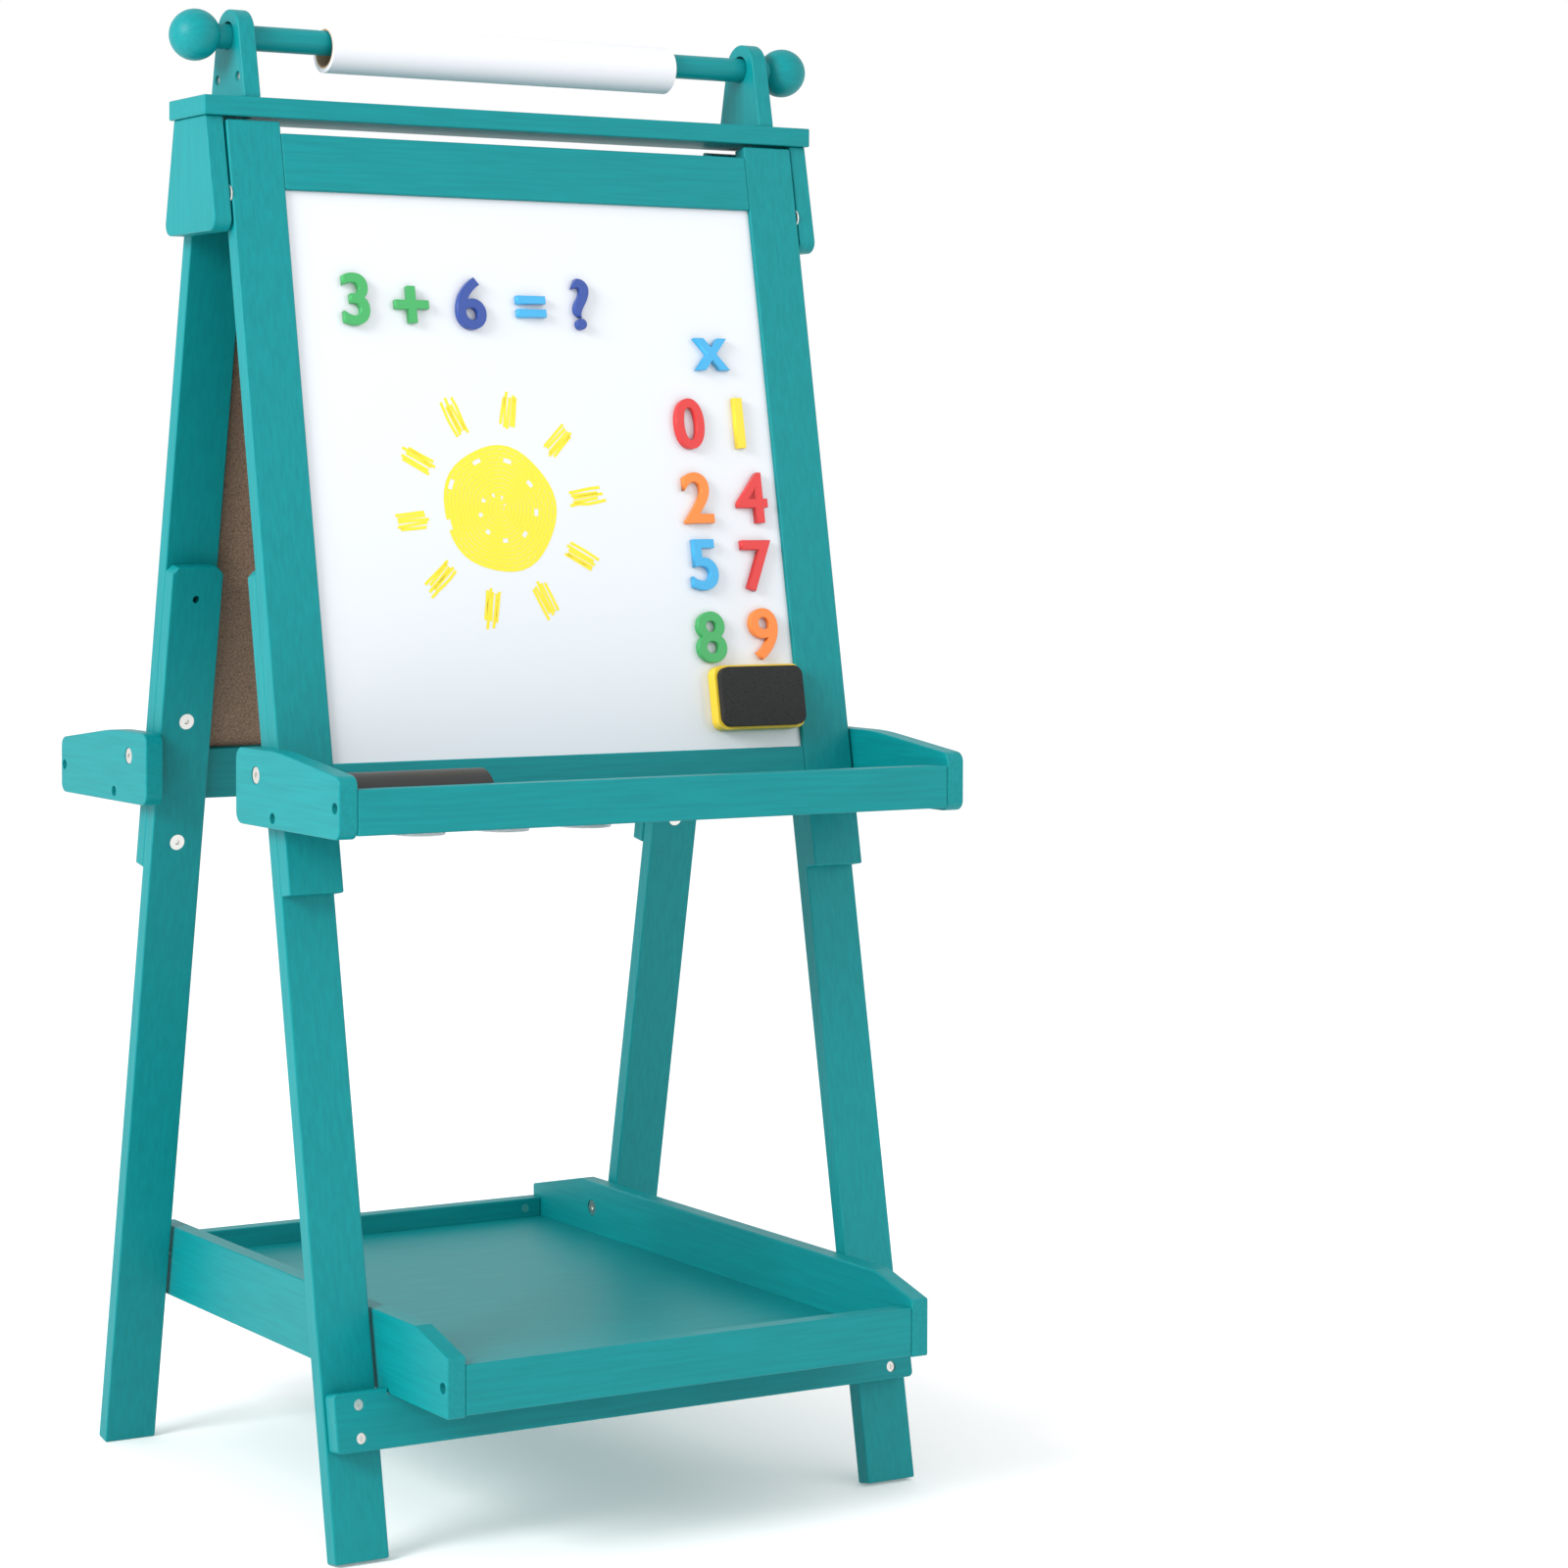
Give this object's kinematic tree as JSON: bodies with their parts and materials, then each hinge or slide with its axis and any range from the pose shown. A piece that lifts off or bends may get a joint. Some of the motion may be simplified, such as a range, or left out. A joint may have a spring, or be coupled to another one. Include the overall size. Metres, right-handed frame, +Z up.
{
  "type": "children's folding easel",
  "caption": "Double-sided children's folding easel with a whiteboard, a chalkboard, two trays, a paper roll, paint cups and a low shelf.",
  "frame": {"origin": "on the floor, under the middle of the easel's overall box", "axes": "+Z up, -Y the side that the whiteboard faces, +X to the right when facing the whiteboard"},
  "size_m": [0.5734, 0.5764, 1.1438],
  "materials": {
    "teal_paint": "satin",
    "dowel_wood": "satin",
    "whiteboard": "gloss",
    "chalkboard": "matte",
    "hardboard": "matte",
    "zinc": "satin",
    "paper": "matte",
    "card": "matte",
    "cup_plastic": "satin",
    "red_plastic": "gloss",
    "yellow_plastic": "gloss",
    "blue_plastic": "gloss",
    "numeral_plastic": "gloss",
    "felt": "matte",
    "eraser_black": "satin"
  },
  "bodies": {
    "crossbar": {"top_board": "teal_paint", "left_ear": "teal_paint", "right_ear": "teal_paint", "ear_dowels": "dowel_wood", "hinge_pins": "zinc", "left_roll_bracket": "teal_paint", "right_roll_bracket": "teal_paint", "bracket_bolts": "zinc"},
    "front_frame": {"front_left_stile": "teal_paint", "front_right_stile": "teal_paint", "front_top_rail": "teal_paint", "front_bottom_rail": "teal_paint", "front_left_leg": "teal_paint", "front_right_leg": "teal_paint", "front_frame_dowels": "dowel_wood", "front_bolts": "zinc", "whiteboard": "whiteboard", "front_hardboard": "hardboard", "cross_rail": "teal_paint", "cross_rail_screws": "zinc", "numerals": "numeral_plastic"},
    "rear_frame": {"rear_left_stile": "teal_paint", "rear_right_stile": "teal_paint", "rear_top_rail": "teal_paint", "rear_bottom_rail": "teal_paint", "rear_left_leg": "teal_paint", "rear_right_leg": "teal_paint", "rear_frame_dowels": "dowel_wood", "rear_bolts": "zinc", "chalkboard": "chalkboard"},
    "front_tray": {"front_tray_left_end": "teal_paint", "front_tray_right_end": "teal_paint", "front_tray_lip": "teal_paint", "front_tray_rail": "teal_paint", "front_tray_floor": "teal_paint", "front_tray_bolts": "zinc"},
    "rear_tray": {"rear_tray_left_end": "teal_paint", "rear_tray_right_end": "teal_paint", "rear_tray_lip": "teal_paint", "rear_tray_rail": "teal_paint", "rear_tray_floor": "teal_paint", "rear_tray_bolts": "zinc"},
    "shelf": {"shelf_left_side": "teal_paint", "shelf_right_side": "teal_paint", "shelf_front_lip": "teal_paint", "shelf_rear_lip": "teal_paint", "shelf_floor": "teal_paint", "shelf_bolts": "zinc"},
    "rod": {"paper_rod": "teal_paint", "rod_balls": "teal_paint"},
    "paper": {"paper_core": "card", "paper_roll": "paper"},
    "board_eraser": {"board_eraser": "felt"},
    "tray_eraser": {"tray_eraser": "eraser_black"},
    "red_cup": {"red_cup": "cup_plastic"},
    "red_lid": {"red_lid": "red_plastic"},
    "yellow_cup": {"yellow_cup": "cup_plastic"},
    "yellow_lid": {"yellow_lid": "yellow_plastic"},
    "blue_cup": {"blue_cup": "cup_plastic"},
    "blue_lid": {"blue_lid": "blue_plastic"}
  },
  "joints": [
    {"name": "front_fold", "type": "hinge", "parent": "crossbar", "child": "front_frame", "pos_m": [0, -0.02685, 1.00017], "axis": [1, 0, 0], "range_deg": [0, 9.5]},
    {"name": "rear_fold", "type": "hinge", "parent": "crossbar", "child": "rear_frame", "pos_m": [0, 0.04235, 1.00017], "axis": [1, 0, 0], "range_deg": [-9.5, 0]},
    {"name": "front_tray_fold", "type": "hinge", "parent": "front_frame", "child": "front_tray", "pos_m": [0, -0.10792, 0.56699], "axis": [-1, 0, 0], "range_deg": [0, 91]},
    {"name": "rear_tray_fold", "type": "hinge", "parent": "rear_frame", "child": "rear_tray", "pos_m": [0, 0.12342, 0.56699], "axis": [1, 0, 0], "range_deg": [0, 97]},
    {"name": "shelf_fold", "type": "hinge", "parent": "rear_frame", "child": "shelf", "pos_m": [0, 0.18628, 0.15498], "axis": [-1, 0, 0], "range_deg": [0, 76]},
    {"name": "rod_spin", "type": "hinge", "parent": "crossbar", "child": "rod", "pos_m": [0, 0.00775, 1.12308], "axis": [1, 0, 0], "continuous": true},
    {"name": "paper_spin", "type": "hinge", "parent": "crossbar", "child": "paper", "pos_m": [0, 0.00775, 1.11888], "axis": [1, 0, 0], "continuous": true},
    {"name": "board_eraser_lift", "type": "slide", "parent": "front_frame", "child": "board_eraser", "axis": [0, 0.9829, -0.184], "range_m": [-0.12, 0]},
    {"name": "tray_eraser_lift", "type": "slide", "parent": "front_tray", "child": "tray_eraser", "axis": [0, 0, -1], "range_m": [-0.1, 0]},
    {"name": "red_cup_lift", "type": "slide", "parent": "rear_tray", "child": "red_cup", "axis": [0, 0, -1], "range_m": [-0.08, 0]},
    {"name": "red_lid_lift", "type": "slide", "parent": "red_cup", "child": "red_lid", "axis": [0, 0, -1], "range_m": [-0.05, 0]},
    {"name": "yellow_cup_lift", "type": "slide", "parent": "rear_tray", "child": "yellow_cup", "axis": [0, 0, -1], "range_m": [-0.08, 0]},
    {"name": "yellow_lid_lift", "type": "slide", "parent": "yellow_cup", "child": "yellow_lid", "axis": [0, 0, -1], "range_m": [-0.05, 0]},
    {"name": "blue_cup_lift", "type": "slide", "parent": "rear_tray", "child": "blue_cup", "axis": [0, 0, -1], "range_m": [-0.08, 0]},
    {"name": "blue_lid_lift", "type": "slide", "parent": "blue_cup", "child": "blue_lid", "axis": [0, 0, -1], "range_m": [-0.05, 0]}
  ],
  "couplings": [
    {"joint": "rear_fold", "follows": "front_fold", "ratio": -1}
  ]
}
